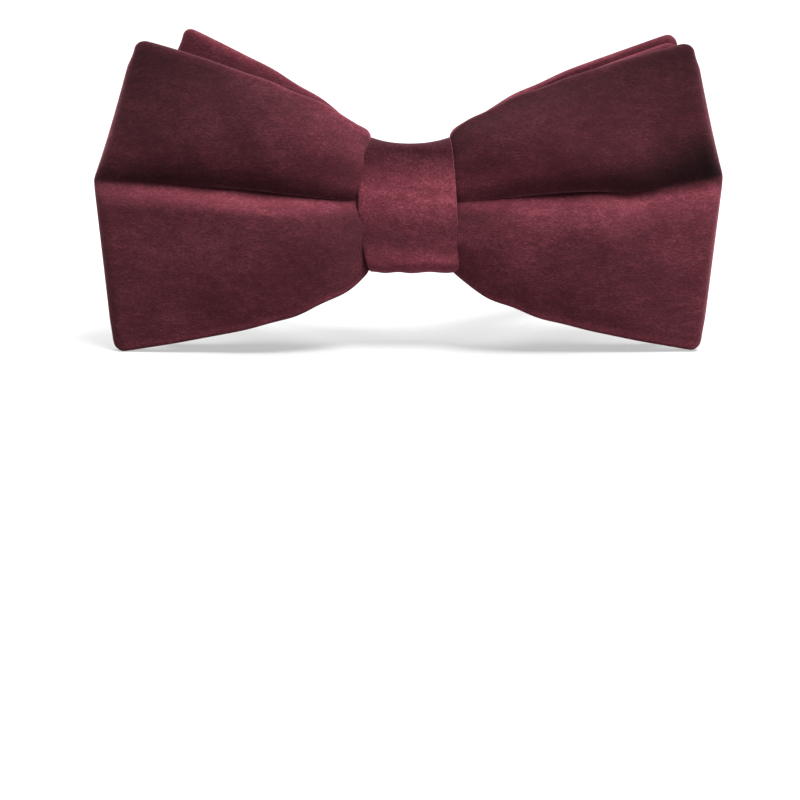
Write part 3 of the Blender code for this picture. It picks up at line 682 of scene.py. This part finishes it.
def make_straps():
    """Each side in two ribbons, which meet halfway along its front run."""
    pieces = {}
    run = front_path()
    channel = [np.array((x, run[0][1])) for x in np.linspace(0, HINGE.x, 9)[:-1]]
    for side, label, tail in ((-1, "left", TOGETHER + TAIL_LENGTH / RING_RADIUS),
                              (1, "right", TOGETHER + 1.5 * GAP / RING_RADIUS)):
        half = len(run) // 2
        for part, place, path in (("front", "knot", channel + run[:half + 1]),
                                  ("rear", "neck", run[half:] + rear_path(tail))):
            piece = ribbon(f"strap_{label}_{place}_side", path, side)
            pieces[f"{label}_{part}"] = piece
    return pieces


def make_return_ply():
    """The strap's inner ply, from the hook's fold to the slider."""
    first = TOGETHER + 2 * GAP / RING_RADIUS
    last = SLIDER_ANGLE - (FOLD_LENGTH + SLIDER_TAIL + GAP) / RING_RADIUS
    return ribbon("return_ply", arc(RING_RADIUS - PLY_PITCH, first, last, 24))


def make_slider_fold():
    """The strap's end, folded round the slider's middle bar, where the return ply comes in."""
    reach = FOLD_LENGTH / RING_RADIUS
    tail = SLIDER_ANGLE - reach - SLIDER_TAIL / RING_RADIUS
    bar_radius = RING_RADIUS - PLY_PITCH - FOLD_CENTRE_LINE
    centre = arc(bar_radius, SLIDER_ANGLE, SLIDER_ANGLE, 1)[0]
    outward, wrap = math.pi / 2 - SLIDER_ANGLE, math.radians(14)
    path = arc(RING_RADIUS - PLY_PITCH, tail, SLIDER_ANGLE - 0.0006 / RING_RADIUS, 8)
    path += round_bar(centre, FOLD_CENTRE_LINE, outward - wrap, outward - math.pi + wrap, 12)
    path += arc(RING_RADIUS - 2 * PLY_PITCH, SLIDER_ANGLE - reach, tail, 4)
    loop = ribbon("slider_loop", path)
    return loop


def make_bartack(name, radius, angle, side):
    """A close zigzag of thread that sews the strap's plies together."""
    crossings, height, swing = 34, 0.0120, 0.0007
    points = []
    for i in range(crossings + 1):
        turn = angle + (swing if i % 2 else -swing) / radius
        up = height * (i / crossings - 0.5)
        points.append(ring_place(side * radius * math.sin(turn), radius * math.cos(turn), up))
    return thread(name, points, SEWING_THREAD)


def rounded_metal(node, radius):
    """The CAD solid with its flat faces merged and its edges rounded."""
    mesh = frame["nodes"][node].data.copy()
    mesh.materials.clear()
    shape = bmesh.new()
    shape.from_mesh(mesh)
    bmesh.ops.remove_doubles(shape, verts=shape.verts, dist=1e-6)
    bmesh.ops.dissolve_limit(shape, angle_limit=math.radians(0.5), verts=shape.verts, edges=shape.edges)
    bmesh.ops.recalc_face_normals(shape, faces=shape.faces)
    shape.to_mesh(mesh)
    shape.free()
    obj = bpy.data.objects.new(node + "_metal", mesh)
    bpy.context.scene.collection.objects.link(obj)
    bevel = obj.modifiers.new("Round", "BEVEL")
    bevel.width = radius
    bevel.segments = 3
    bevel.limit_method = "ANGLE"
    bevel.angle_limit = math.radians(30)
    obj.data.shade_smooth()
    return obj


# ------------------------------------------------------------------ materials


def new_material(name):
    material = bpy.data.materials.new(name)
    material.use_nodes = True
    nodes, links = material.node_tree.nodes, material.node_tree.links
    return material, nodes, links, nodes["Principled BSDF"]


def noise(nodes, links, scale, detail, stretch=(1, 1, 1), rough=0.5):
    """A noise in the object's own metres."""
    place = nodes.new("ShaderNodeTexCoord")
    mapping = nodes.new("ShaderNodeMapping")
    mapping.inputs["Scale"].default_value = stretch
    texture = nodes.new("ShaderNodeTexNoise")
    texture.inputs["Scale"].default_value = scale
    texture.inputs["Detail"].default_value = detail
    texture.inputs["Roughness"].default_value = rough
    links.new(place.outputs["Object"], mapping.inputs["Vector"])
    links.new(mapping.outputs["Vector"], texture.inputs["Vector"])
    return texture.outputs["Fac"]


def weighted(nodes, links, parts):
    """The sum of each (value, weight)."""
    total = None
    for value, weight in parts:
        scaled = nodes.new("ShaderNodeMath")
        scaled.operation = "MULTIPLY_ADD"
        scaled.inputs[1].default_value = weight
        links.new(value, scaled.inputs[0])
        if total is None:
            scaled.inputs[2].default_value = 0
        else:
            links.new(total, scaled.inputs[2])
        total = scaled.outputs["Value"]
    return total


def ramp(nodes, links, value, stops):
    shades = nodes.new("ShaderNodeValToRGB")
    elements = shades.color_ramp.elements
    while len(elements) < len(stops):
        elements.new(0.5)
    for element, (place, color) in zip(elements, stops):
        element.position = place
        element.color = (*color, 1)
    links.new(value, shades.inputs["Fac"])
    return shades.outputs["Color"]


def bump(nodes, links, height, distance, strength=1.0):
    node = nodes.new("ShaderNodeBump")
    node.inputs["Distance"].default_value = distance
    node.inputs["Strength"].default_value = strength
    links.new(height, node.inputs["Height"])
    return node.outputs["Normal"]


VELVET_SHADES = ((0.012, 0.0020, 0.0032), (0.0325, 0.0063, 0.0094), (0.077, 0.0178, 0.0255))


def velvet_material(name, nap_stretch, contrast):
    """Velvet with a short nap: a speckled nap, brushed patches and a sheen at its edges, with its colour
    scaled by the light and shade painted into the mesh's "nap" attribute.
    """
    material, nodes, links, shader = new_material(name)
    nap = noise(nodes, links, 2500, 3, nap_stretch, 0.75)
    mottle = noise(nodes, links, 620, 4, nap_stretch, 0.6)
    brushed = noise(nodes, links, 75, 2, (1, 1, 1.6))
    shade = weighted(nodes, links, ((nap, 0.50), (mottle, 0.24), (brushed, 0.26)))
    stops = tuple(zip((0.5 - 0.20 / contrast, 0.5, 0.5 + 0.20 / contrast), VELVET_SHADES))
    # the light and shade painted on the mesh, in its "nap" attribute, scale the velvet's colour
    painted_light_attribute = nodes.new("ShaderNodeAttribute")
    painted_light_attribute.attribute_name = "nap"
    colour_with_painted_light = nodes.new("ShaderNodeVectorMath")
    colour_with_painted_light.operation = "SCALE"
    links.new(ramp(nodes, links, shade, stops), colour_with_painted_light.inputs[0])
    links.new(painted_light_attribute.outputs["Fac"], colour_with_painted_light.inputs["Scale"])
    links.new(colour_with_painted_light.outputs["Vector"], shader.inputs["Base Color"])
    height = weighted(nodes, links, ((nap, 0.7), (mottle, 0.3)))
    links.new(bump(nodes, links, height, 0.00022, 1.0), shader.inputs["Normal"])
    shader.inputs["Roughness"].default_value = 1.0
    shader.inputs["Specular IOR Level"].default_value = 0.08
    shader.inputs["Sheen Weight"].default_value = 0.20
    shader.inputs["Sheen Roughness"].default_value = 0.35
    shader.inputs["Sheen Tint"].default_value = (0.95, 0.30, 0.39, 1)
    return material


def lining_material():
    """Black non-woven stiffener, felted and slightly fuzzy."""
    material, nodes, links, shader = new_material("stiff lining")
    fibres = noise(nodes, links, 1500, 5, (1, 1, 1), 0.7)
    shades = ramp(nodes, links, fibres, ((0.35, (0.004, 0.0035, 0.004)), (0.7, (0.014, 0.012, 0.013))))
    links.new(shades, shader.inputs["Base Color"])
    links.new(bump(nodes, links, fibres, 0.00012), shader.inputs["Normal"])
    shader.inputs["Roughness"].default_value = 0.95
    shader.inputs["Specular IOR Level"].default_value = 0.15
    return material


def satin_material():
    """Satin strap: fine warp lines along it, a faint cross weave and a soft gloss."""
    material, nodes, links, shader = new_material("strap satin")
    place = nodes.new("ShaderNodeUVMap")
    place.uv_map = "cloth"
    warp = nodes.new("ShaderNodeTexWave")
    warp.wave_type = "BANDS"
    warp.bands_direction = "Y"
    warp.inputs["Scale"].default_value = 900
    warp.inputs["Distortion"].default_value = 0.6
    warp.inputs["Detail"].default_value = 2
    links.new(place.outputs["UV"], warp.inputs["Vector"])
    weft = nodes.new("ShaderNodeTexWave")
    weft.wave_type = "BANDS"
    weft.bands_direction = "X"
    weft.inputs["Scale"].default_value = 600
    weft.inputs["Distortion"].default_value = 0.4
    links.new(place.outputs["UV"], weft.inputs["Vector"])
    cloud = noise(nodes, links, 160, 3)
    weave = weighted(nodes, links, ((warp.outputs["Fac"], 0.28), (weft.outputs["Fac"], 0.17), (cloud, 0.55)))
    shades = ramp(nodes, links, weave, ((0.2, (0.012, 0.0022, 0.0036)), (0.8, (0.030, 0.0062, 0.0095))))
    links.new(shades, shader.inputs["Base Color"])
    links.new(bump(nodes, links, weave, 0.00006), shader.inputs["Normal"])
    shader.inputs["Roughness"].default_value = 0.48
    shader.inputs["Specular IOR Level"].default_value = 0.20
    shader.inputs["Sheen Weight"].default_value = 0.05
    shader.inputs["Sheen Tint"].default_value = (0.95, 0.35, 0.45, 1)
    return material


def thread_material():
    """Burgundy sewing thread, darker between its twisted strands."""
    material, nodes, links, shader = new_material("sewing thread")
    twist = noise(nodes, links, 4500, 2, (1, 1, 2.5))
    shades = ramp(nodes, links, twist, ((0.35, (0.020, 0.0040, 0.0062)), (0.65, (0.050, 0.012, 0.017))))
    links.new(shades, shader.inputs["Base Color"])
    links.new(bump(nodes, links, twist, 0.00006), shader.inputs["Normal"])
    shader.inputs["Roughness"].default_value = 0.6
    shader.inputs["Specular IOR Level"].default_value = 0.20
    return material


def nickel_material():
    """Nickel plate, with faint brushing and slightly duller patches."""
    material, nodes, links, shader = new_material("nickel plate")
    brushed = noise(nodes, links, 900, 3, (6, 1, 1))
    worn = noise(nodes, links, 260, 3)
    shades = ramp(nodes, links, worn, ((0.3, (0.21, 0.205, 0.195)), (0.7, (0.31, 0.30, 0.285))))
    links.new(shades, shader.inputs["Base Color"])
    both = weighted(nodes, links, ((brushed, 0.5), (worn, 0.5)))
    links.new(ramp(nodes, links, both, ((0.3, (0.20,) * 3), (0.7, (0.36,) * 3))), shader.inputs["Roughness"])
    links.new(bump(nodes, links, brushed, 0.00002, 0.5), shader.inputs["Normal"])
    shader.inputs["Metallic"].default_value = 1.0
    return material


def pale_material(name, color, glow):
    """A matt surface that glows a little, so that shadows on it stay pale."""
    material, _, _, shader = new_material(name)
    shader.inputs["Base Color"].default_value = (*color, 1)
    shader.inputs["Emission Color"].default_value = (1, 1, 1, 1)
    shader.inputs["Emission Strength"].default_value = glow
    shader.inputs["Roughness"].default_value = 0.9
    shader.inputs["Specular IOR Level"].default_value = 0.0
    return material


# ------------------------------------------------------------------ stage, light and camera


def add_stage():
    """A round pale floor that turns up into a wall all round, so that every view has a plain backdrop."""
    flat, bend, height = 1.7, 0.7, 2.4
    curve = np.linspace(0, math.pi / 2, 13)[1:]
    profile = [(0.0, 0.0), (flat, 0.0)]
    profile += [(flat + bend * math.sin(a), bend - bend * math.cos(a)) for a in curve]
    profile.append((flat + bend, height))
    turns = 72
    around = [2 * math.pi * k / turns for k in range(turns)]
    points, faces = [], []
    for radius, z in profile:
        points += [(radius * math.cos(a), radius * math.sin(a), z) for a in around]
    for i in range(len(profile) - 1):
        for k in range(turns):
            n = (k + 1) % turns
            faces.append((i * turns + k, i * turns + n, (i + 1) * turns + n, (i + 1) * turns + k))
    floor = object_from("studio_floor", points, faces)
    shape = bmesh.new()
    shape.from_mesh(floor.data)
    bmesh.ops.remove_doubles(shape, verts=shape.verts, dist=1e-5)
    bmesh.ops.recalc_face_normals(shape, faces=shape.faces)
    shape.to_mesh(floor.data)
    shape.free()
    floor.data.materials.append(pale_material("pale floor", (0.12, 0.12, 0.12), 0.5))


def add_sun(name, toward, spread, strength):
    """A broad distant lamp, by the direction it stands in, its apparent size in degrees and its strength."""
    data = bpy.data.lights.new(name, "SUN")
    data.angle = math.radians(spread)
    data.energy = strength
    light = bpy.data.objects.new(name, data)
    bpy.context.scene.collection.objects.link(light)
    light.rotation_euler = Vector(toward).to_track_quat("Z", "Y").to_euler()


def add_lights():
    add_sun("key", (0.27, -0.40, 0.88), 25, 13)
    add_sun("overhead", (0.0, 0.20, 0.98), 60, 8)
    add_sun("back_fill", (-0.4, 0.75, 0.50), 70, 4)
    world = bpy.data.worlds.new("studio")
    world.use_nodes = True
    background = world.node_tree.nodes["Background"]
    background.inputs["Color"].default_value = (1, 1, 1, 1)
    background.inputs["Strength"].default_value = 0.3
    bpy.context.scene.world = world


SENSOR, LENS = 36, 200  # in millimetres
CAMERA_DISTANCE = 0.845
AIM_BELOW = math.radians(2.64)  # the picture's middle lies this far under the bow


def add_camera():
    """A long lens, looking down on the bow at the angle at which the strap's ring is edge-on behind it."""
    data = bpy.data.cameras.new("camera")
    data.sensor_width, data.lens = SENSOR, LENS
    camera = bpy.data.objects.new("camera", data)
    bpy.context.scene.collection.objects.link(camera)
    down = math.atan2(RING_NORMAL.y, RING_NORMAL.z)
    bow_middle = Vector((-0.0017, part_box("front_bow")[0].y + 0.002, 0.0311))
    camera.location = bow_middle + CAMERA_DISTANCE * Vector((0, -math.cos(down), math.sin(down)))
    camera.rotation_euler = (math.pi / 2 - down - AIM_BELOW, 0, 0)
    data.clip_start, data.clip_end = 0.05, 20
    bpy.context.scene.camera = camera


# ------------------------------------------------------------------ the cloth's flat sizes


def declare_bow(bow):
    """Reads a bow's strip height and length as cut and takes the lining's setback off the height; neither is
    kept or used.
    """
    height, length = bow["cut"]
    height -= LINING_SETBACK


# ------------------------------------------------------------------ putting it together


def finish_piece(obj, material, nodes):
    """Gives a piece its material, in a slot of its own, and hides the CAD nodes that it stands for."""
    obj.data.materials.append(material)
    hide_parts(*nodes)
    return obj


def dress_bows(velvet, lining):
    for name, node, bow in (("velvet_front_bow", "front_bow", FRONT_BOW),
                            ("velvet_rear_bow", "rear_bow", REAR_BOW)):
        cloth, stiffener = make_bow(name, bow)
        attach(finish_piece(cloth, velvet, [node]), "bow")
        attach(finish_piece(stiffener, lining, [node + "_lining"]), "bow")
        declare_bow(bow)


def dress_knot(velvet, lining, stitch):
    band, band_lining = make_knot()
    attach(finish_piece(band, velvet, ["knot_band"]), "bow")
    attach(finish_piece(band_lining, lining, ["knot_band_lining"]), "bow")
    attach(finish_piece(make_binding(), stitch, ["binding_thread"]), "bow")
    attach(finish_piece(make_knot_seam(), stitch, ["knot_seam_thread"]), "bow")


def dress_straps(satin):
    """The strap's two sides, each in two pieces, fixed where they lie."""
    straps = make_straps()
    for side, label in ((-1, "left"), (1, "right")):
        nodes = [f"strap_{label}_front"] + (["strap_center"] if side < 0 else [])
        piece = finish_piece(straps[label + "_front"], satin, nodes)
        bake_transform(piece)
        piece = finish_piece(straps[label + "_rear"], satin, [f"strap_{label}_rear"])
        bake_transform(piece)


def dress_slider(satin):
    """The return ply, fixed where it lies, and the fold round the slider's bar, attached to the slider."""
    ply = finish_piece(make_return_ply(), satin, ["strap_return_ply"])
    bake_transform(ply)
    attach(finish_piece(make_slider_fold(), satin, ["slider_fold"]), "slider")


def dress_stitches(stitch):
    outside = RING_RADIUS + STRAP_THICK / 2 + TACK_PROUD
    inside = RING_RADIUS - 2 * PLY_PITCH - STRAP_THICK / 2 - TACK_PROUD
    tail = TOGETHER + TAIL_LENGTH / 2 / RING_RADIUS
    slider_tail = SLIDER_ANGLE - (FOLD_LENGTH + SLIDER_TAIL / 2) / RING_RADIUS
    for place, radius, angle, side, body in (("eye", outside, tail, -1, "left_rear"),
                                             ("hook", outside, TOGETHER, 1, "right_rear"),
                                             ("slider", inside, slider_tail, 1, "slider")):
        tack = make_bartack(place + "_stitches", radius, angle, side)
        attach(finish_piece(tack, stitch, [place + "_bartack"]), body)


def dress_fittings(nickel):
    for node, body, radius in (("eye", "eye", 0.00022),
                               ("hook", "hook", 0.00012),
                               ("slider_frame", "slider", 0.00022)):
        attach(finish_piece(rounded_metal(node, radius), nickel, [node]), body)


def dress():
    velvet = velvet_material("burgundy velvet", (0.6, 1, 1.25), 0.88)
    knot_velvet = velvet_material("burgundy velvet, knot", (0.85, 1, 1.05), 0.90)
    lining, satin, stitch, nickel = lining_material(), satin_material(), thread_material(), nickel_material()
    dress_bows(velvet, lining)
    dress_knot(knot_velvet, lining, stitch)
    dress_straps(satin)
    dress_slider(satin)
    dress_stitches(stitch)
    dress_fittings(nickel)


bpy.context.scene.view_settings.view_transform = "Standard"
add_camera()
dress()
add_stage()
add_lights()
